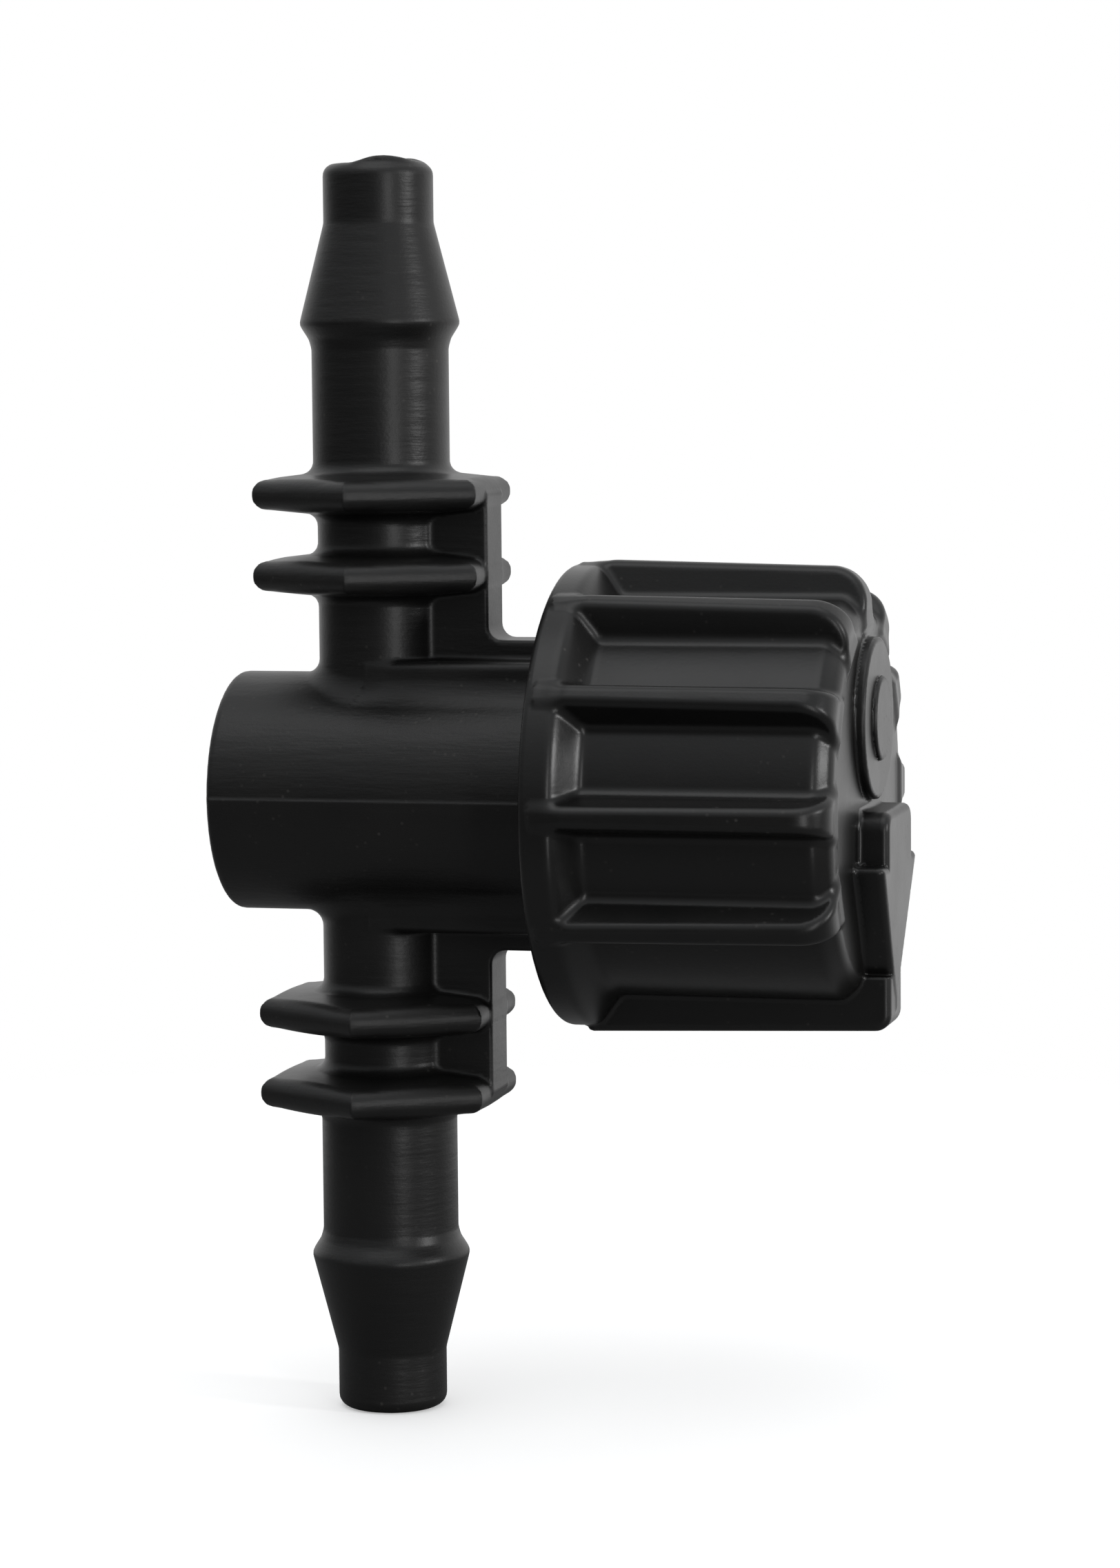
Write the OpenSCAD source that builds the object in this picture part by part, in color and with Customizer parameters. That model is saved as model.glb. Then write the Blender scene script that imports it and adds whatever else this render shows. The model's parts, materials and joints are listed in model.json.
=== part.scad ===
/* [Barbs] */
// Distance from the knob axis to each open end of the tube
half_length = 19.7; // [18:0.1:24]
// Diameter of the plain tube between barb and grip flange
stem_d = 4.3; // [4.1:0.05:4.6]
// Largest diameter of each barb
barb_d = 5; // [4.8:0.05:5.4]
// Diameter of the plain nose in front of each barb
nose_d = 3.45; // [3.2:0.05:3.8]
// Length of the plain nose
nose_length = 1.85; // [1.2:0.05:2.4]
// Length of the tapering barb cone
cone_length = 3.15; // [2.4:0.05:3.6]
// Diameter of the tube between the outer flanges
neck_d = 4.06; // [3.9:0.02:4.2]
// Diameter of the waterway through the tube
waterway_d = 2.4; // [1.8:0.1:2.6]

/* [Grip flanges] */
// Width across the flats of the hexagonal flanges
flange_flats = 7.25; // [6.8:0.05:7.6]
// Thickness of a flange at its root
flange_t = 1.25; // [1:0.05:1.4]
// Height of the inner flanges above and below the knob axis
inner_flange_z = 6.89; // [6.4:0.01:7.2]
// Height of the outer flanges above and below the knob axis
outer_flange_z = 9.43; // [9:0.01:10]

/* [Web] */
// Thickness of the stiffening web
web_t = 1.9; // [1.4:0.1:2.4]
// Distance from the tube axis to the outer edge of the web
web_reach = 3.66; // [3.2:0.02:3.9]
// Half height of the low web that runs on towards the knob
low_web_z = 4.87; // [4.5:0.01:5.2]
// Half height of the saddle block beside the barrel
saddle_z = 4.24; // [4:0.01:4.4]

/* [Barrel] */
// Outer diameter of the barrel
barrel_d = 7.56; // [7.2:0.02:7.8]
// Distance from the tube axis to the closed end of the barrel
barrel_back = 4.76; // [4.4:0.02:5]
// Distance from the tube axis to the open mouth of the barrel
barrel_mouth = 11; // [10.6:0.1:11.2]
// Diameter of the bore that holds the plug
plug_bore_d = 4.6; // [4.5:0.05:4.8]

/* [Knob] */
// Distance from the tube axis to the knob's inner end
knob_inner = 6.17; // [6.1:0.01:6.6]
// Distance from the tube axis to the knob's end face
knob_face = 15.55; // [15:0.05:16]
// Diameter of the plain rim at the inner end
rim_d = 14.4; // [14:0.1:14.6]
// Diameter over the ribs at their inner end
rib_inner_d = 14.7; // [14.6:0.02:15]
// Diameter over the ribs at their outer end
rib_outer_d = 14.36; // [14:0.02:14.5]
// Diameter of the drum that the ribs stand on
drum_d = 12.4; // [12:0.1:12.8]
// Width of a rib along its crest
rib_crest_w = 0.65; // [0.5:0.05:0.9]
// Width of a rib at its foot
rib_foot_w = 1.2; // [1:0.05:1.6]
// Height of the pointer above the end face
pointer_height = 0.95; // [0.6:0.05:1.1]

/* [Plug] */
// Diameter of the hole across the plug
plug_hole_d = 2; // [1.6:0.1:2]
// Radial clearance between plug and bore
running_gap = 0.05; // [0.02:0.01:0.08]
// Section diameter of the sealing rings
ring_section = 0.75; // [0.7:0.01:0.8]
// Side of the square that drives the plug
drive_square = 3; // [2.6:0.1:3.2]
// Angle that the knob turns from open to shut
quarter_turn = 90; // [80:1:100]

/* [Hidden] */
$fn = 96;
over = 0.2;                                  // how far a cutting tool overshoots
stem_r = stem_d / 2;
barb_r = barb_d / 2;
nose_r = nose_d / 2;
nose_round = 0.4;
cone_top = half_length - nose_length;
cone_foot = cone_top - cone_length;
barb_back = 0.75;
neck_r = neck_d / 2;
neck_top = outer_flange_z;
vestige_rise = 0.22;
vestige_r = 1.9;
vestige_x = 0.55;
flange_tip_t = 0.95;
flange_round = 0.44;
root_fillet = 0.4;
barrel_r = barrel_d / 2;
barrel_round = 0.25;
bore_r = plug_bore_d / 2;
bore_floor = -barrel_back + 1.2;
plug_r = bore_r - running_gap;
plug_foot = bore_floor + 0.2;
web_end = knob_inner - 0.28;
notch_round = 0.45;
seal_x = 2.375;
groove_w = 0.95;
groove_r = bore_r - 0.8;
ring_mean_r = bore_r - 0.025 - ring_section / 2;
bead_x = 8.2;
bead_w = 1.2;
bead_rise = 0.35;
bead_gap = 0.15;
rim_r = rim_d / 2;
rim_w = 1;
rim_round = 0.25;
rim_slope = 0.7;
rib_inner_r = rib_inner_d / 2;
rib_outer_r = rib_outer_d / 2;
rib_pitch = 30;
rib_count_a_side = 4;
drum_r = drum_d / 2;
corner_r = 1.15;
drum_corner_r = 0.5;
skirt_r = 4.95;
knob_wall = 1.5;
hub_r = 3.7;
hub_x = barrel_mouth + 0.3;
pointer_half = 1;
pointer_end_r = 7.08;
pointer_start = knob_inner + 0.5;
pointer_slope = 0.8;
pointer_round = 0.5;
arrow_nose = 2.05;
arrow_top = -0.25;
arrow_step = -1.85;
arrow_wide = 2.8;
arrow_shoulder = -2.05;
arrow_tip = -6.2;
arrow_tip_half = 0.2;
pointer_drop = 0.15;
disc_z = 2.5;
disc_r = 2.5;
disc_rise = 0.3;
button_r = 1.3;
button_rise = 0.15;
tab_half = 14;
tab_gap = 1;
tab_depth = 1.1;
tab_inner_r = 2.85;
tab_outer_r = 3.65;

// Points on an arc about [cx, cy], from angle a0 to a1
function arc(cx, cy, r, a0, a1, n = 6) =
    [for (i = [0:n]) let (a = a0 + (a1 - a0) * i / n) [cx + r * cos(a), cy + r * sin(a)]];

// Moves and turns its children so that their +Z runs along the knob axis
module on_knob_axis(x = 0) {
    translate([x, 0, half_length])
        rotate([0, 90, 0])
            children();
}

// Makes a solid of revolution about the knob axis, from [radius, x] points
module turned(points) {
    on_knob_axis()
        rotate_extrude()
            polygon(points);
}

// Part of a ring about the knob axis, centred on an angle from straight up
module ring_sector(inner_r, outer_r, length, half_angle, centre) {
    rotate([0, 0, 180 - centre - half_angle])
        rotate_extrude(angle = 2 * half_angle)
            translate([inner_r, 0])
                square([outer_r - inner_r, length]);
}

// One half of the tube with its barb, standing on the knob axis
module barb_half() {
    rotate_extrude()
        polygon([
            [0, 0],
            [neck_r, 0],
            [neck_r, neck_top],
            [stem_r, neck_top],
            [stem_r, cone_foot - barb_back],
            [stem_r + 0.08, cone_foot - barb_back + 0.3],
            [barb_r - 0.08, cone_foot - 0.12],
            [barb_r, cone_foot],
            [barb_r, cone_foot + 0.1],
            [nose_r, cone_top],
            each arc(nose_r - nose_round, half_length - nose_round, nose_round, 0, 90),
            [0, half_length]
        ]);
}

// The low crest that the moulding gate leaves on the upper rim
module gate_vestige() {
    intersection() {
        translate([0, 0, half_length - over])
            cylinder(r = nose_r - nose_round / 2, h = 2 * over + vestige_rise);
        translate([vestige_x, barb_r, half_length + vestige_rise - vestige_r])
            rotate([90, 0, 0])
                cylinder(r = vestige_r, h = barb_d);
    }
}

// Bar across the flats of a flange, thinner and rounded at both ends
module flange_bar() {
    reach = flange_flats / 2 - flange_round;
    rise = flange_tip_t / 2 - flange_round;
    rotate([90, 0, 0])
        linear_extrude(2 * flange_flats, center = true)
            polygon([
                each arc(reach, rise, flange_round, 0, 80),
                [neck_r + root_fillet, flange_t / 2],
                [-neck_r - root_fillet, flange_t / 2],
                each arc(-reach, rise, flange_round, 100, 180),
                each arc(-reach, -rise, flange_round, 180, 260),
                [-neck_r - root_fillet, -flange_t / 2],
                [neck_r + root_fillet, -flange_t / 2],
                each arc(reach, -rise, flange_round, 280, 360)
            ]);
}

// Hexagonal grip flange with rounded flats and a coned root
module grip_flange(z) {
    translate([0, 0, z]) {
        intersection_for (turn = [0, 60, 120])
            rotate([0, 0, turn])
                flange_bar();
        rotate_extrude()
            polygon([
                [0, -flange_t / 2 - root_fillet],
                [neck_r, -flange_t / 2 - root_fillet],
                [neck_r + root_fillet, -flange_t / 2],
                [neck_r + root_fillet, flange_t / 2],
                [neck_r, flange_t / 2 + root_fillet],
                [0, flange_t / 2 + root_fillet]
            ]);
    }
}

// Web, low web and saddle block on the knob side of the tube
module webs() {
    translate([0, -web_t / 2, -outer_flange_z])
        cube([web_reach, web_t, 2 * outer_flange_z]);
    translate([0, -web_t / 2, -low_web_z])
        cube([web_end, web_t, 2 * low_web_z]);
    for (side = [0, 1])
        mirror([0, 0, side])
            translate([web_reach, web_t / 2, low_web_z])
                rotate([90, 0, 0])
                    difference() {
                        translate([-over, -over])
                            cube([notch_round + over, notch_round + over, web_t]);
                        translate([notch_round, notch_round, -over])
                            cylinder(r = notch_round, h = web_t + 2 * over);
                    }
    translate([0, -stem_r, -saddle_z])
        cube([web_end, stem_d, 2 * saddle_z]);
}

module valve_body() {
    color([0.05, 0.05, 0.055])
        difference() {
            union() {
                translate([0, 0, half_length]) {
                    for (side = [0, 1])
                        mirror([0, 0, side]) {
                            barb_half();
                            grip_flange(inner_flange_z);
                            grip_flange(outer_flange_z);
                        }
                    gate_vestige();
                    webs();
                }
                turned(concat(
                    [[0, -barrel_back]],
                    arc(barrel_r - barrel_round, barrel_round - barrel_back, barrel_round, -90, 0),
                    [[barrel_r, barrel_mouth], [0, barrel_mouth]]
                ));
            }
            // waterway from end to end
            translate([0, 0, -over])
                cylinder(d = waterway_d, h = 2 * half_length + 4 * over);
            // bore for the plug, with the groove that its bead snaps into
            turned([
                [0, bore_floor],
                [bore_r, bore_floor],
                [bore_r, bead_x - bead_gap],
                [bore_r + bead_rise + 0.1, bead_x - bead_gap],
                [bore_r + bead_rise + 0.1, bead_x + bead_w + bead_gap],
                [bore_r, bead_x + bead_w + bead_gap],
                [bore_r, barrel_mouth + over],
                [0, barrel_mouth + over]
            ]);
            // notch in the mouth, whose ends stop the knob
            on_knob_axis(barrel_mouth - tab_depth - 0.2)
                ring_sector(bore_r - over, barrel_r + over, tab_depth + 2 * over,
                    quarter_turn / 2 + tab_half + tab_gap, 0);
        }
}

// One straight rib, wider at its foot, before its crest is trimmed
module rib(angle) {
    foot = drum_r - 1;
    draft = (rib_foot_w - rib_crest_w) / 2 / (rib_inner_r - drum_r);
    translate([knob_inner + rim_w / 2, 0, half_length])
        rotate([angle, 0, 0])
            rotate([90, 0, 90])
                linear_extrude(knob_face - knob_inner)
                    polygon([
                        [-rib_foot_w / 2 - draft, foot],
                        [rib_foot_w / 2 + draft, foot],
                        [rib_crest_w / 2, rib_inner_r],
                        [-rib_crest_w / 2, rib_inner_r]
                    ]);
}

// The rounded shape that trims the crests of all the ribs
module rib_envelope() {
    turned(concat(
        [[0, knob_inner + rim_w / 2], [rib_inner_r, knob_inner + rim_w / 2]],
        arc(rib_outer_r - corner_r, knob_face - corner_r, corner_r, 5, 90),
        [[0, knob_face]]
    ));
}

// Drum of the knob with its plain rim, which slopes down to the pockets between the ribs
module drum() {
    turned(concat(
        [[0, knob_inner]],
        arc(rim_r - rim_round, knob_inner + rim_round, rim_round, -90, 0, 4),
        [
            [rim_r, knob_inner + rim_w],
            [drum_r, knob_inner + rim_w + rim_slope]
        ],
        arc(drum_r - drum_corner_r, knob_face - drum_corner_r, drum_corner_r, 0, 90),
        [[0, knob_face]]
    ));
}

// Widest rib, which runs along the bottom and stands proud of the end face
module pointer_rib() {
    outer = knob_face + pointer_height - pointer_drop;
    translate([0, pointer_half, half_length])
        rotate([90, 0, 0])
            linear_extrude(2 * pointer_half)
                polygon([
                    [pointer_start, -rib_inner_r],
                    each arc(outer - pointer_round, pointer_round - pointer_end_r,
                        pointer_round, 270, 360),
                    [outer, -drum_r + pointer_slope],
                    [pointer_start + pointer_slope + 0.4, -drum_r + pointer_slope],
                    [pointer_start + pointer_slope, -drum_r]
                ]);
}

// Raised arrow on the end face, which points at the pointer rib
module arrow() {
    translate([knob_face - 1, 0, half_length])
        rotate([90, 0, 90])
            linear_extrude(pointer_height + 1)
                polygon([
                    [-arrow_nose, arrow_top],
                    [-arrow_nose, arrow_step],
                    [-arrow_wide, arrow_step],
                    [-arrow_wide, arrow_shoulder],
                    [-arrow_tip_half, arrow_tip],
                    [arrow_tip_half, arrow_tip],
                    [arrow_wide, arrow_shoulder],
                    [arrow_wide, arrow_step],
                    [arrow_nose, arrow_step],
                    [arrow_nose, arrow_top]
                ]);
}

// Plain raised disc with a smaller round step in the middle of it
module face_disc() {
    translate([0, 0, disc_z])
        on_knob_axis(knob_face - over) {
            cylinder(r = disc_r, h = over + disc_rise);
            cylinder(r = button_r, h = over + disc_rise + button_rise);
        }
}

module knob() {
    color([0.03, 0.03, 0.032])
        difference() {
            union() {
                drum();
                intersection() {
                    rib_envelope();
                    for (i = [-rib_count_a_side:rib_count_a_side])
                        rib(i * rib_pitch);
                }
                pointer_rib();
                arrow();
                face_disc();
            }
            // hollow skirt around the barrel, with the hub left standing
            difference() {
                on_knob_axis(knob_inner - over)
                    cylinder(r = skirt_r, h = knob_face - knob_inner - knob_wall + over);
                on_knob_axis(hub_x)
                    cylinder(r = hub_r, h = knob_face - hub_x);
                on_knob_axis(barrel_mouth - tab_depth)
                    ring_sector(tab_inner_r, tab_outer_r, tab_depth + 1, tab_half, -quarter_turn / 2);
            }
            // square socket that the plug is pressed into
            translate([hub_x - over, -drive_square / 2, half_length - drive_square / 2])
                cube([knob_face - knob_wall - hub_x + over, drive_square, drive_square]);
        }
}

module spindle() {
    color([0.78, 0.78, 0.75])
        difference() {
            union() {
                turned([
                    [0, plug_foot],
                    [plug_r - 0.2, plug_foot],
                    [plug_r, plug_foot + 0.2],
                    [plug_r, -seal_x - groove_w / 2],
                    [groove_r, -seal_x - groove_w / 2],
                    [groove_r, -seal_x + groove_w / 2],
                    [plug_r, -seal_x + groove_w / 2],
                    [plug_r, seal_x - groove_w / 2],
                    [groove_r, seal_x - groove_w / 2],
                    [groove_r, seal_x + groove_w / 2],
                    [plug_r, seal_x + groove_w / 2],
                    [plug_r, bead_x],
                    [plug_r + bead_rise, bead_x + 0.3],
                    [plug_r + bead_rise, bead_x + 0.7],
                    [plug_r, bead_x + bead_w],
                    [plug_r, hub_x],
                    [0, hub_x]
                ]);
                translate([hub_x - 1, -drive_square / 2, half_length - drive_square / 2])
                    cube([knob_face - knob_wall - hub_x + 0.8, drive_square, drive_square]);
            }
            translate([0, 0, half_length - plug_bore_d])
                cylinder(d = plug_hole_d, h = 2 * plug_bore_d);
        }
}

// Rubber sealing ring in a groove of the plug
module seal_ring(x) {
    color([0.02, 0.02, 0.02])
        on_knob_axis(x)
            rotate_extrude()
                translate([ring_mean_r, 0])
                    circle(d = ring_section, $fn = 48);
}

module inner_o_ring() {
    seal_ring(-seal_x);
}

module outer_o_ring() {
    seal_ring(seal_x);
}

valve_body();
knob();
spindle();
inner_o_ring();
outer_o_ring();
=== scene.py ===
"""A barbed in-line shut-off valve for narrow drip tubing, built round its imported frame."""

import json
import math

import bpy
import numpy as np
from mathutils import Matrix, Vector


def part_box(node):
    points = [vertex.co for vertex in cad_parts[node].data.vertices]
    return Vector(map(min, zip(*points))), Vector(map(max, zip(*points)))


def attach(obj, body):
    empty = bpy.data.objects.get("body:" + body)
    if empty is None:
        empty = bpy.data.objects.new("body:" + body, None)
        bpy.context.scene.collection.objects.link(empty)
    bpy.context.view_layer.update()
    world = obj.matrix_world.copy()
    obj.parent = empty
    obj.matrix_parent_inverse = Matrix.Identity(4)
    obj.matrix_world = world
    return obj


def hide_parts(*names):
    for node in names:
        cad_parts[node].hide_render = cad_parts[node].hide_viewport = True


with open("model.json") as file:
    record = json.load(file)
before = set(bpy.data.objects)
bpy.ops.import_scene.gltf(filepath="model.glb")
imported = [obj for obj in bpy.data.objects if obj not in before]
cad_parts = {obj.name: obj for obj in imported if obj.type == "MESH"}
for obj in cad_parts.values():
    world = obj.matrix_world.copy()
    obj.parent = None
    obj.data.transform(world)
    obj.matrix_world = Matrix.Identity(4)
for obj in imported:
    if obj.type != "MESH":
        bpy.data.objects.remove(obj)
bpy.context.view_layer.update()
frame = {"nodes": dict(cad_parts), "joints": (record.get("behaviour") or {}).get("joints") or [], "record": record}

# Camera: a long lens 14 cm in front of the valve, turned a little to the knob's side and raised
# a little, so that the knob's end face just shows.
MM = 0.001
knob_joint = frame["joints"][0]
axis_height = knob_joint["pos_m"][2]
camera_turn, camera_rise, camera_roll = (math.radians(a) for a in (14.38, 5.38, -0.525))
camera_reach = 141.7 * MM
level_right = Vector((math.cos(camera_turn), math.sin(camera_turn), 0))
towards_camera = Vector(
    (
        math.sin(camera_turn) * math.cos(camera_rise),
        -math.cos(camera_turn) * math.cos(camera_rise),
        math.sin(camera_rise),
    )
)
level_up = towards_camera.cross(level_right)
camera_right = level_right * math.cos(camera_roll) + level_up * math.sin(camera_roll)
camera_up = level_up * math.cos(camera_roll) - level_right * math.sin(camera_roll)
aim = Vector((5 * MM, 0, axis_height)) + 0.671 * MM * camera_right + 0.303 * MM * camera_up
lens = bpy.data.cameras.new("camera")
lens.sensor_fit = "HORIZONTAL"
lens.sensor_width = 36
lens.lens = 145.2
lens.clip_start = 10 * MM
camera = bpy.data.objects.new("camera", lens)
camera.matrix_world = Matrix.Translation(aim + camera_reach * towards_camera) @ Matrix(
    (camera_right, camera_up, towards_camera)
).transposed().to_4x4()
bpy.context.collection.objects.link(camera)
bpy.context.scene.camera = camera
bpy.context.scene.view_settings.view_transform = "Standard"


# Shader maths, used by the studio and by every finish. A Value is a socket that can stand in
# sums and products, and a Finish is one material, whose nodes all come from its node method.
class Value:
    def __init__(self, finish, socket):
        self.finish = finish
        self.socket = socket

    def maths(self, operation, *numbers, clamp=False):
        settings = {"operation": operation, "use_clamp": clamp}
        return self.finish.node("ShaderNodeMath", settings, *numbers)

    def __add__(self, other):
        return self.maths("ADD", self, other)

    def __sub__(self, other):
        return self.maths("SUBTRACT", self, other)

    def __mul__(self, other):
        return self.maths("MULTIPLY", self, other)

    def __rsub__(self, other):
        return self.maths("SUBTRACT", other, self)

    __radd__ = __add__
    __rmul__ = __mul__

    def held(self):
        """The same value, kept between 0 and 1."""
        return self.maths("ADD", self, 0, clamp=True)


class Finish:
    def __init__(self, owner):
        owner.use_nodes = True
        self.tree = owner.node_tree
        self.tree.nodes.clear()

    def node(self, kind, settings=None, *inputs, output=0, **named):
        """Adds a node. Its settings come first, then its sockets in order or by name."""
        made = self.tree.nodes.new(kind)
        for name, value in (settings or {}).items():
            if name == "stops":
                while len(made.color_ramp.elements) < len(value):
                    made.color_ramp.elements.new(0.5)
                for stop, (place, shade) in zip(made.color_ramp.elements, value, strict=True):
                    stop.position = place
                    stop.color = (shade, shade, shade, 1)
            else:
                setattr(made, name, value)
        filled = list(zip(made.inputs, inputs, strict=False))
        filled += [(made.inputs[name.replace("_", " ")], value) for name, value in named.items()]
        for socket, value in filled:
            if isinstance(value, Value):
                self.tree.links.new(value.socket, socket)
            elif value is not None:
                socket.default_value = value
        return Value(self, made.outputs[output]) if made.outputs else None

    def mix(self, share, first, second):
        """A colour between first and second."""
        blend = self.node("ShaderNodeMix", {"data_type": "RGBA"}, output=2)
        sockets = blend.socket.node.inputs
        for name, value in (("Factor_Float", share), ("A_Color", first), ("B_Color", second)):
            socket = next(s for s in sockets if s.identifier == name)
            if isinstance(value, Value):
                self.tree.links.new(value.socket, socket)
            else:
                socket.default_value = value
        return blend


def grey(shade, warmth=0.0):
    """A near-grey colour; warmth above 0 leans it to red and below 0 to blue."""
    return (shade * (1 + warmth), shade, shade * (1 - warmth), 1)


# Studio: a pale round bench under the valve, fading out into white, in a room that is bright
# behind the valve and above it and dim low down on the camera's side, with three soft boxes.
# The bench throws little light back up, so that the undersides stay dark.
def pale_bench(radius, faded_from, thrown_back, glow):
    bpy.ops.mesh.primitive_circle_add(vertices=96, radius=radius, fill_type="NGON")
    bench = bpy.context.object
    bench.name = "bench"
    paint = bpy.data.materials.new("bench_paint")
    finish = Finish(paint)
    place = finish.node("ShaderNodeTexCoord", output=3)
    cloud = finish.node("ShaderNodeTexNoise", None, place, Scale=14, Detail=3)
    seen = finish.node("ShaderNodeLightPath", output=0)
    shade = finish.mix(seen, grey(thrown_back), finish.mix(cloud, grey(0.8), grey(0.84)))
    surface = finish.node(
        "ShaderNodeBsdfPrincipled",
        None,
        Base_Color=shade,
        Roughness=0.8,
        Emission_Color=finish.mix(seen, grey(0), grey(glow)),
        Emission_Strength=1,
    )
    distance = finish.node("ShaderNodeVectorMath", {"operation": "LENGTH"}, place, output=1)
    gone = finish.node("ShaderNodeMapRange", None, distance, faded_from, radius, 0, 1)
    air = finish.node("ShaderNodeBsdfTransparent")
    edge = finish.node("ShaderNodeMixShader", None, gone, surface, air)
    finish.node("ShaderNodeOutputMaterial", None, edge)
    bench.data.materials.append(paint)


def soft_room(low, high, behind):
    """Lights the valve from above and from behind, and shows plain white past it."""
    world = bpy.data.worlds.new("room")
    bpy.context.scene.world = world
    finish = Finish(world)
    way = finish.node("ShaderNodeTexCoord", output=0)
    rise = finish.node("ShaderNodeSeparateXYZ", None, way, output=2)
    depth = finish.node("ShaderNodeSeparateXYZ", None, way, output=1)
    full = 0.75
    above = finish.node("ShaderNodeMapRange", None, rise, 0, full, 0, 1)
    past = finish.node("ShaderNodeMapRange", None, depth, 0.1, full, 0, 1)
    front = finish.mix(above, grey(low), grey(high, -0.02))
    room = finish.mix(past, front, grey(behind))
    seen = finish.node("ShaderNodeLightPath", output=0)
    light = finish.node("ShaderNodeBackground", None, finish.mix(seen, room, grey(1)), 1)
    finish.node("ShaderNodeOutputWorld", None, light)


def soft_box(name, place, size, power):
    lamp = bpy.data.lights.new(name, "AREA")
    lamp.shape = "RECTANGLE"
    lamp.size, lamp.size_y = size
    lamp.energy = power
    box = bpy.data.objects.new(name, lamp)
    box.location = place
    box.rotation_euler = (aim - Vector(place)).to_track_quat("-Z", "Y").to_euler()
    bpy.context.collection.objects.link(box)


pale_bench(radius=0.07, faded_from=0.035, thrown_back=0.2, glow=0.35)
soft_room(low=0.1, high=0.75, behind=1.0)
soft_box("top_box", (0.02, -0.16, 0.50), (0.45, 0.30), 0.5)
soft_box("strip_box", (0.30, -0.39, 0.02), (0.06, 0.30), 0.48)
soft_box("side_box", (0.45, -0.08, 0.12), (0.05, 0.10), 0.6)


# Moulded shapes. Each moulding is described by a field: a function that says how far a point
# lies outside the plastic, in millimetres from the valve's centre. Fields are joined with
# rounded inside corners and cut with rounded edges, as a mould makes them, and skinned.
def joined(a, b, fillet):
    """Both shapes, with a fillet of that radius in the corner between them."""
    near_a, near_b = np.maximum(fillet - a, 0), np.maximum(fillet - b, 0)
    return np.maximum(fillet, np.minimum(a, b)) - np.hypot(near_a, near_b)


def shared(a, b, round_off):
    """What lies in both shapes, with edges rounded to that radius."""
    near_a, near_b = np.maximum(round_off + a, 0), np.maximum(round_off + b, 0)
    return np.minimum(-round_off, np.maximum(a, b)) + np.hypot(near_a, near_b)


def cut(a, tool, round_off):
    """The first shape without the second."""
    return shared(a, -tool, round_off)


class Profile:
    """The outline of a turned shape: its radius at each place along its axis."""

    STEP = 0.02

    def __init__(self, points, soften):
        places, radii = np.array(points, float).T
        self.places = np.arange(places[0], places[-1] + self.STEP, self.STEP)
        exact = np.interp(self.places, places, radii)
        width = max(1, round(soften / self.STEP)) * 2 + 1
        weights = np.hanning(width + 2)[1:-1]
        padded = np.pad(exact, width // 2, mode="edge")
        self.radii = np.convolve(padded, weights / weights.sum(), "valid")
        self.lean = 1 / np.hypot(1, np.gradient(self.radii, self.STEP))

    def outside(self, radius, place):
        gap = radius - np.interp(place, self.places, self.radii)
        return gap * np.interp(place, self.places, self.lean)


def slope_of(field, points, reach):
    """The field's gradient at each point, from four samples round it."""
    slope = np.zeros_like(points)
    for corner in np.array([(1, -1, -1), (-1, -1, 1), (-1, 1, -1), (1, 1, 1)], float):
        slope += corner * field(*(points + reach * corner).T)[:, None]
    return slope / (4 * reach)


def settled(field, points, rounds=3):
    """The points, each moved on to the surface."""
    for _ in range(rounds):
        slope = slope_of(field, points, 0.004)
        size = np.maximum((slope**2).sum(1), 0.2)
        step = field(*points.T) / size
        points = points - np.clip(step, -0.1, 0.1)[:, None] * slope
    return points


def netted(field, low, high, cell):
    """Points and four-sided faces of a net drawn over the surface on a grid of cells."""
    axes = [np.arange(a - cell, b + 2 * cell, cell) for a, b in zip(low, high, strict=True)]
    counts = [len(a) for a in axes]
    values = np.empty(counts, np.float32)
    for i, x in enumerate(axes[0]):
        values[i] = field(np.full(counts[1:], x), axes[1][:, None], axes[2][None, :])
    inside = values < 0
    last = [n - 1 for n in counts]
    offsets = [(i, j, k) for i in (0, 1) for j in (0, 1) for k in (0, 1)]
    window = {o: tuple(slice(a, a + n) for a, n in zip(o, last, strict=True)) for o in offsets}
    full = sum(inside[window[o]].astype(np.int8) for o in offsets)
    crossed = (full > 0) & (full < 8)
    number = np.full(crossed.shape, -1, np.int64)
    number[crossed] = np.arange(crossed.sum())
    cells = np.argwhere(crossed)
    place, found = np.zeros((len(cells), 3)), np.zeros(len(cells))
    for start in offsets:
        for way in range(3):
            if start[way]:
                continue
            end = tuple(int(n == way or s) for n, s in enumerate(start))
            a = values[window[start]][crossed]
            b = values[window[end]][crossed]
            meets = (a < 0) != (b < 0)
            share = np.where(meets, a / np.where(meets, a - b, 1), 0)
            along = np.array(start) + share[:, None] * np.eye(3)[way]
            place += along * meets[:, None]
            found += meets
    points = np.array([a[0] for a in axes]) + cell * (cells + place / found[:, None])
    faces = []
    for way in range(3):
        across, up = (way + 1) % 3, (way + 2) % 3
        here = [slice(1, n) for n in last]
        here[way] = slice(0, last[way])
        ahead = list(here)
        ahead[way] = slice(1, last[way] + 1)
        first, second = inside[tuple(here)], inside[tuple(ahead)]
        edges = np.argwhere(first != second) + np.array([int(n != way) for n in range(3)])
        leaving = first[first != second]
        ring = []
        for back_across, back_up in ((1, 1), (0, 1), (0, 0), (1, 0)):
            step = np.zeros(3, int)
            step[across], step[up] = back_across, back_up
            ring.append(number[tuple((edges - step).T)])
        quads = np.stack(ring, 1)
        faces.append(np.where(leaving[:, None], quads, quads[:, ::-1]))
    return points, np.concatenate(faces)


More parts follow.
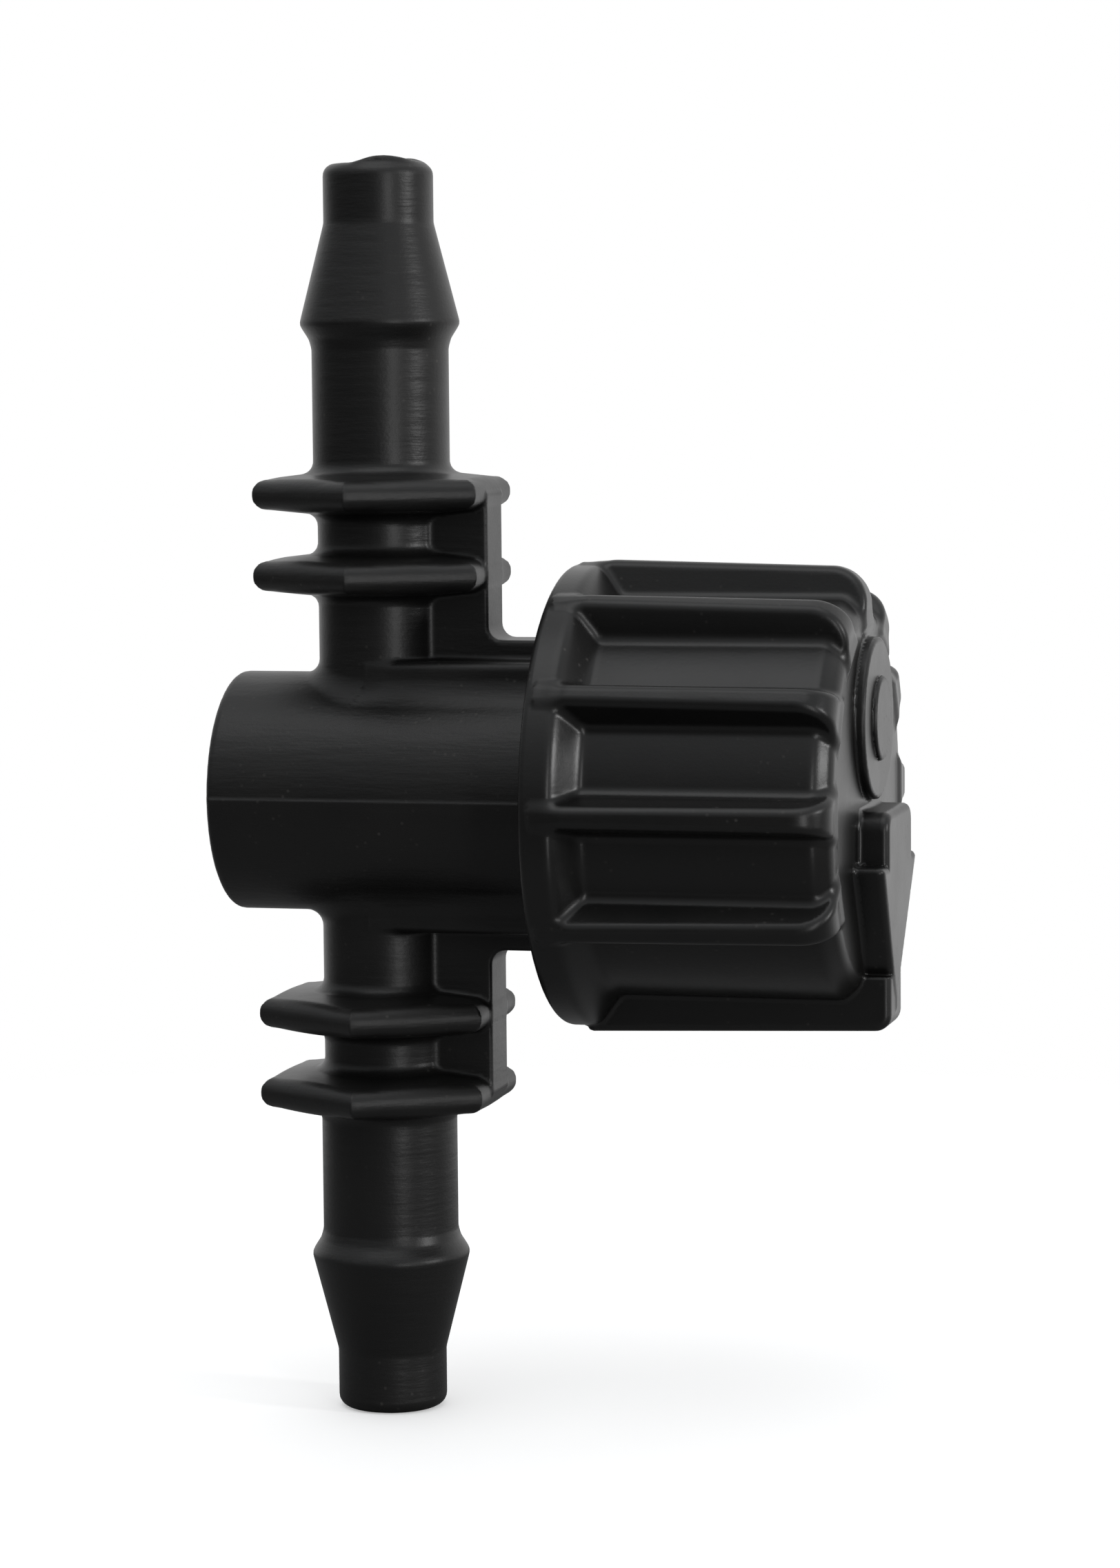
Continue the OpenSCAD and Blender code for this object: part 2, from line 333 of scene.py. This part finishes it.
def thinned(mesh, most_triangles):
    """The mesh with its flattest places made of fewer faces, down to that many triangles."""
    triangles = sum(len(p.vertices) - 2 for p in mesh.polygons)
    if triangles <= most_triangles:
        return mesh
    carrier = bpy.data.objects.new("carrier", mesh)
    bpy.context.collection.objects.link(carrier)
    carrier.modifiers.new("thin", "DECIMATE").ratio = most_triangles / triangles
    thin = bpy.data.meshes.new_from_object(
        carrier.evaluated_get(bpy.context.evaluated_depsgraph_get())
    )
    bpy.data.objects.remove(carrier)
    return thin


def places_of(mesh):
    flat = np.empty(len(mesh.vertices) * 3)
    mesh.vertices.foreach_get("co", flat)
    return flat.reshape(-1, 3)


def skinned(name, field, low, high, cell, most_triangles):
    """A moulding's mesh, smooth over every fillet, with how sharply it bends kept as edge."""
    points, faces = netted(field, low, high, cell)
    mesh = bpy.data.meshes.new(name)
    mesh.from_pydata(settled(field, points).tolist(), [], faces.tolist())
    mesh = thinned(mesh, most_triangles)
    mesh.name = name
    points = settled(field, places_of(mesh))
    normals = slope_of(field, points, 0.01)
    normals /= np.linalg.norm(normals, axis=1)[:, None]
    reach = 0.12
    bend = sum(
        field(*(points + reach * way).T) for way in np.concatenate([np.eye(3), -np.eye(3)])
    )
    centre = np.array([0, 0, axis_height])
    mesh.vertices.foreach_set("co", (points * MM + centre).astype(np.float32).ravel())
    mesh.attributes.new("edge", "FLOAT", "POINT").data.foreach_set(
        "value", np.clip(bend / reach, -1, 1).astype(np.float32)
    )
    for polygon in mesh.polygons:
        polygon.use_smooth = True
    mesh.normals_split_custom_set_from_vertices(normals.tolist())
    mesh.update()
    piece = bpy.data.objects.new(name, mesh)
    bpy.context.collection.objects.link(piece)
    return piece


# Valve body: one injection moulding in black polypropylene. A straight tube carries a barb at
# each end and four hexagonal grip flanges; a web stiffens it on the knob's side, and the
# barrel that the plug turns in crosses it. Tube and barrel are bored by the mould's core pins.
mounts = {m["name"]: m for m in frame["record"]["mounts"]}
body_low, body_high = (np.array(c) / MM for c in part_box("valve_body"))
body_low[2] -= axis_height / MM
body_high[2] -= axis_height / MM
half_length = axis_height / MM
nose_r = mounts["upper_barb"]["dims"]["r_mm"]
waterway_r = mounts["upper_waterway"]["dims"]["r_mm"]
barrel_back, barrel_mouth = body_low[0], body_high[0]
stem_r, neck_r, barb_r = 2.15, 2.03, 2.5
cone_foot, cone_top = half_length - 5.0, half_length - 1.85
inner_flange, outer_flange, flange_flats = 6.89, 9.43, 7.25
barrel_r, bore_r, bore_floor = 3.78, 2.3, barrel_back + 1.2
web_half, web_reach, web_end = 0.95, 3.66, 5.89
low_web_top, saddle_top = 4.87, 4.24
flange_half_root, flange_half_rim, flange_round, root_fillet = 0.61, 0.47, 0.44, 0.4
nose_round, barrel_round, barrel_fillet = 0.38, 0.25, 0.5
crest_r, crest_rise, crest_x = 1.9, 0.2, 0.55
seam_rise, seam_half = 0.01, 0.04
groove_middle, groove_half, groove_depth = 8.8, 0.75, 0.45
notch_depth, notch_half_turn = 1.3, math.radians(60)
tube_outline = Profile(
    [
        (0, neck_r),
        (outer_flange, neck_r),
        (outer_flange + 0.1, stem_r),
        (cone_foot - 0.75, stem_r),
        (cone_foot - 0.45, stem_r + 0.08),
        (cone_foot - 0.12, barb_r - 0.06),
        (cone_foot, barb_r),
        (cone_foot + 0.1, barb_r),
        (cone_top, nose_r),
        (half_length + 1, nose_r),
    ],
    soften=0.08,
)


def grip_flange(x, y, height, radius, middle):
    across = -np.inf
    for turn in np.radians([0, 60, 120]):
        across = np.maximum(across, np.abs(x * math.cos(turn) + y * math.sin(turn)))
    ends = [neck_r + root_fillet, flange_flats / 2]
    half_thick = np.interp(radius, ends, [flange_half_root, flange_half_rim])
    outside = np.abs(height - middle) - half_thick
    return shared(across - flange_flats / 2, outside, flange_round)


def stiffening_web(x, y, height):
    tall = shared(x - web_reach, height - outer_flange, 0.1)
    low = shared(x - web_end, height - low_web_top, 0.1)
    outline = joined(tall, low, 0.45)
    web = shared(np.maximum(outline, -x), np.abs(y) - web_half, 0.12)
    saddle = shared(shared(x - web_end, height - saddle_top, 0.2), np.abs(y) - neck_r, 0.25)
    return joined(web, np.maximum(saddle, -x), 0.15)


def body_field(x, y, z):
    height, radius, from_axis = np.abs(z), np.hypot(x, y), np.hypot(y, z)
    tube = shared(tube_outline.outside(radius, height), height - half_length, nose_round)
    crest = np.hypot(x - crest_x, z - half_length - crest_rise + crest_r) - crest_r
    tube = joined(tube, shared(crest, radius - nose_r + 0.22, 0.1), 0.12)
    for middle in (inner_flange, outer_flange):
        tube = joined(tube, grip_flange(x, y, height, radius, middle), root_fillet)
    tube = joined(tube, stiffening_web(x, y, height), 0.15)
    ends = np.maximum(barrel_back - x, x - barrel_mouth)
    barrel = shared(from_axis - barrel_r, ends, barrel_round)
    seam = shared(from_axis - barrel_r - seam_rise, ends, barrel_round)
    seam = shared(seam, np.abs(z) - seam_half, seam_rise)
    solid = joined(joined(tube, barrel, barrel_fillet), seam, 0.05)
    solid = np.maximum(solid, barrel_back - x)
    solid = cut(solid, radius - waterway_r, 0.12)
    bore = np.maximum(from_axis - bore_r, bore_floor - x)
    groove = np.maximum(from_axis - bore_r - groove_depth, np.abs(x - groove_middle) - groove_half)
    round_axis = np.abs(np.arctan2(y, z))
    notch = np.maximum(barrel_mouth - notch_depth - x, (round_axis - notch_half_turn) * from_axis)
    inner = np.minimum(np.minimum(bore, groove), np.maximum(notch, bore_r - 0.2 - from_axis))
    return cut(solid, inner, 0.05)


body = skinned("valve_body_moulding", body_field, body_low, body_high, 0.11, 180_000)
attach(body, "valve_body")
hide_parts("valve_body")


def moulded_plastic(name, shade, sheen_low, sheen_high, grain, gloss, tool_marks):
    """Black moulded plastic: clouded sheen, mould grain, tool marks, pale edges and dust."""
    plastic = bpy.data.materials.new(name)
    finish = Finish(plastic)
    place = finish.node("ShaderNodeTexCoord", output=3)
    edge = finish.node("ShaderNodeAttribute", {"attribute_name": "edge"}, output=2)
    cloud = finish.node("ShaderNodeTexNoise", None, place, Scale=260, Detail=4, Roughness=0.6)
    scuff = finish.node("ShaderNodeTexNoise", None, place, Scale=1900, Detail=5, Roughness=0.7)
    pits = finish.node("ShaderNodeTexNoise", None, place, Scale=9000, Detail=2, Roughness=0.5)
    speck = finish.node("ShaderNodeTexVoronoi", None, place, Scale=2600)
    peel = finish.node("ShaderNodeTexNoise", None, place, Scale=900, Detail=2, Roughness=0.4)
    squeezed = finish.node("ShaderNodeVectorMath", {"operation": "MULTIPLY"}, place, (1, 1, 7))
    marks = finish.node("ShaderNodeTexNoise", None, squeezed, Scale=420, Detail=3, Roughness=0.6)
    rubbed = (edge * 1.6 - 0.25 + (scuff - 0.5) * 1.2).held()
    dust = ((0.18 - speck) * 6).held() * (cloud * 4 - 1.9).held()
    ground = finish.mix(cloud, grey(shade * 0.75, -0.08), grey(shade * 1.35, 0.08))
    worn = finish.mix(rubbed * 0.25, ground, grey(shade * 2.2))
    colour = finish.mix(dust * 0.3, worn, grey(0.16, 0.06))
    sheen = sheen_low + (sheen_high - sheen_low) * cloud + rubbed * 0.08 + dust * 0.2
    grained = pits * grain + scuff * (grain * 0.8) + cloud * 0.5 + peel * 1.5 + marks * tool_marks
    bump = finish.node("ShaderNodeBump", None, Strength=0.25, Distance=0.02 * MM, Height=grained)
    surface = finish.node(
        "ShaderNodeBsdfPrincipled",
        None,
        Base_Color=colour,
        Roughness=sheen.held(),
        IOR=1.49,
        Specular_IOR_Level=gloss,
        Normal=bump,
    )
    finish.node("ShaderNodeOutputMaterial", None, surface)
    return plastic


body.data.materials.append(moulded_plastic("satin_black_plastic", 0.006, 0.32, 0.48, 0.8, 0.4, 4.0))


# Knob: a hollow moulding in glossier black plastic, pressed on the plug's square end. Straight
# ribs stand on its drum to grip, and the widest one, at the bottom, carries on up the end face
# as a raised arrow, below a plain raised disc.
knob_low, knob_high = (np.array(c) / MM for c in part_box("knob"))
knob_low[2] -= axis_height / MM
knob_high[2] -= axis_height / MM
knob_inner, pointer_face = knob_low[0], knob_high[0]
arrow_height, pointer_drop = 0.95, 0.15
knob_face = pointer_face - arrow_height
rim_r, rim_end, pocket_start = 7.2, knob_inner + 1.0, knob_inner + 1.7
drum_r, rib_inner_r, rib_outer_r = 6.2, knob_high[1], 7.18
rib_turn, last_rib = math.radians(30), 4
rib_half, rib_spread = 0.31, 0.24
end_round, edge_round, foot_fillet = 1.15, 0.22, 0.25
drum_round = 0.15
pointer_half, pointer_start, pointer_round = 1.0, knob_inner + 0.5, 0.5
pointer_end_r = 7.08
skirt_r, hub_r, hub_start, knob_wall = 4.95, 3.7, barrel_mouth + 0.3, 1.5
square_half = 1.5
arrow_top, arrow_step, arrow_shoulder, arrow_tip = -0.25, -1.85, -2.05, -6.2
nose_half, head_half, tip_half, arrow_lean = 2.05, 2.8, 0.2, 0.03
disc_z, disc_r, disc_rise, button_r, button_rise = 2.5, 2.5, 0.3, 1.3, 0.45
tab_depth, tab_middle_r, tab_half_wide = 1.1, 3.25, 0.4
tab_turn, tab_half_turn = math.radians(45), math.radians(14)
drum_outline = Profile(
    [
        (knob_inner - 1, rim_r),
        (rim_end, rim_r),
        (pocket_start, drum_r),
        (knob_face - 0.6, drum_r),
        (pointer_face + 1, drum_r - 1.6 - arrow_height),
    ],
    soften=0.3,
)
rib_outline = Profile(
    [
        (knob_inner - 1, rim_r),
        (rim_end - 0.4, rim_r),
        (rim_end + 0.3, rib_inner_r),
        (knob_face - end_round, rib_outer_r),
        (pointer_face + 1, rib_outer_r),
    ],
    soften=0.3,
)


def grip_ribs(x, from_axis, round_axis):
    nearest = np.clip(np.round(round_axis / rib_turn), 0, last_rib)
    turned = round_axis - rib_turn * nearest
    level, side = from_axis * np.cos(turned), np.abs(from_axis * np.sin(turned))
    walls = (side - rib_half - rib_spread * (rib_inner_r - level)) * 0.968
    walls = np.maximum(walls, drum_r - 1 - level)
    crest = shared(rib_outline.outside(from_axis, x), x - knob_face, end_round)
    return shared(walls, np.maximum(crest, knob_inner + 0.4 - x), edge_round)


def pointer_rib(x, y, z):
    start = pointer_start + 0.7 * (rib_inner_r + z)
    bottom = np.interp(x, [pointer_start, pointer_face], [rib_inner_r, pointer_end_r])
    rib = shared(-z - bottom, x - pointer_face + pointer_drop, pointer_round)
    rib = shared(rib, (start - x) * 0.82, 0.2)
    rib = shared(rib, np.abs(y) - pointer_half, edge_round)
    return np.maximum(rib, drum_r - 0.8 + z)


def arrow(x, y, z):
    lean = arrow_lean * np.maximum(-z - 2, 0)
    half = np.interp(z, [arrow_tip, arrow_shoulder], [tip_half, head_half])
    head = shared((np.abs(y) - half) * 0.85, np.maximum(z - arrow_step, arrow_tip - 0.4 - z), 0.12)
    nose = shared(np.abs(y) - nose_half, np.maximum(z - arrow_top, -z - 3.2), 0.55)
    raised = np.maximum(np.minimum(head, nose), knob_face - 1 - x)
    return shared(raised, x - pointer_face + lean, 0.22)


def face_disc(x, y, z):
    from_middle = np.hypot(y, z - disc_z)
    disc = shared(from_middle - disc_r, x - knob_face - disc_rise, 0.1)
    button = shared(from_middle - button_r, x - knob_face - button_rise, 0.08)
    return np.maximum(np.minimum(disc, button), knob_face - 0.5 - x)


def knob_field(x, y, z):
    from_axis, round_axis = np.hypot(y, z), np.abs(np.arctan2(y, z))
    dome = x - knob_face + 0.003 * from_axis**2
    drum = shared(drum_outline.outside(from_axis, x), dome, drum_round)
    drum = shared(drum, knob_inner - x, 0.25)
    solid = joined(drum, grip_ribs(x, from_axis, round_axis), foot_fillet)
    raised = joined(arrow(x, y, z), pointer_rib(x, y, z), 0.1)
    solid = joined(solid, raised, 0.15)
    solid = joined(solid, face_disc(x, y, z), 0.06)
    solid = np.maximum(solid, x - pointer_face)
    hollow = np.maximum(from_axis - skirt_r, x - knob_face + knob_wall)
    hub = np.maximum(from_axis - hub_r, hub_start - x)
    round_tab = (np.abs(np.arctan2(y, z) + tab_turn) - tab_half_turn) * from_axis
    tab = np.maximum(round_tab, barrel_mouth - tab_depth - x)
    tab = np.maximum(tab, np.abs(from_axis - tab_middle_r) - tab_half_wide)
    socket = np.maximum(np.maximum(np.abs(y), np.abs(z)) - square_half, x - knob_face + knob_wall)
    hollow = np.maximum(hollow, -np.minimum(hub, tab))
    return cut(solid, np.minimum(hollow, socket), 0.1)


knob = skinned("knob_moulding", knob_field, knob_low, knob_high, 0.1, 180_000)
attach(knob, "knob")
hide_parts("knob")
knob.data.materials.append(moulded_plastic("gloss_black_plastic", 0.005, 0.26, 0.4, 0.5, 0.42, 0.6))


# Plug: turned by the knob inside the barrel. Natural acetal, moulded to a fine polish, with a
# cross hole, two ring grooves, a snap bead and a square end.
def natural_acetal():
    acetal = bpy.data.materials.new("natural_acetal")
    finish = Finish(acetal)
    place = finish.node("ShaderNodeTexCoord", output=3)
    cloud = finish.node("ShaderNodeTexNoise", None, place, Scale=400, Detail=4)
    rings = finish.node("ShaderNodeTexWave", {"bands_direction": "X"}, place, Scale=2500)
    colour = finish.mix(cloud, grey(0.62, 0.04), grey(0.74, 0.03))
    bump = finish.node("ShaderNodeBump", None, Strength=0.15, Distance=0.01 * MM, Height=rings)
    surface = finish.node(
        "ShaderNodeBsdfPrincipled",
        None,
        Base_Color=colour,
        Roughness=0.28 + cloud * 0.12,
        Normal=bump,
    )
    finish.node("ShaderNodeOutputMaterial", None, surface)
    return acetal


def finished(node, finish):
    """Puts a finish on a CAD node whose shape is right as it is."""
    piece = frame["nodes"][node]
    piece.data.materials.clear()
    piece.data.materials.append(finish)


finished("spindle", natural_acetal())


# Sealing rings: two black nitrile rings in the plug's grooves, one each side of the waterway,
# lightly greased so that the knob turns smoothly.
def greased_rubber():
    rubber = bpy.data.materials.new("greased_rubber")
    finish = Finish(rubber)
    place = finish.node("ShaderNodeTexCoord", output=3)
    smear = finish.node("ShaderNodeTexNoise", None, place, Scale=900, Detail=4)
    grain = finish.node("ShaderNodeTexNoise", None, place, Scale=7000, Detail=2)
    colour = finish.mix(smear, grey(0.008), grey(0.02))
    bump = finish.node("ShaderNodeBump", None, Strength=0.2, Distance=0.01 * MM, Height=grain)
    surface = finish.node(
        "ShaderNodeBsdfPrincipled",
        None,
        Base_Color=colour,
        Roughness=0.3 + smear * 0.35,
        Normal=bump,
    )
    finish.node("ShaderNodeOutputMaterial", None, surface)
    return rubber


for ring in ("inner_o_ring", "outer_o_ring"):
    finished(ring, greased_rubber())
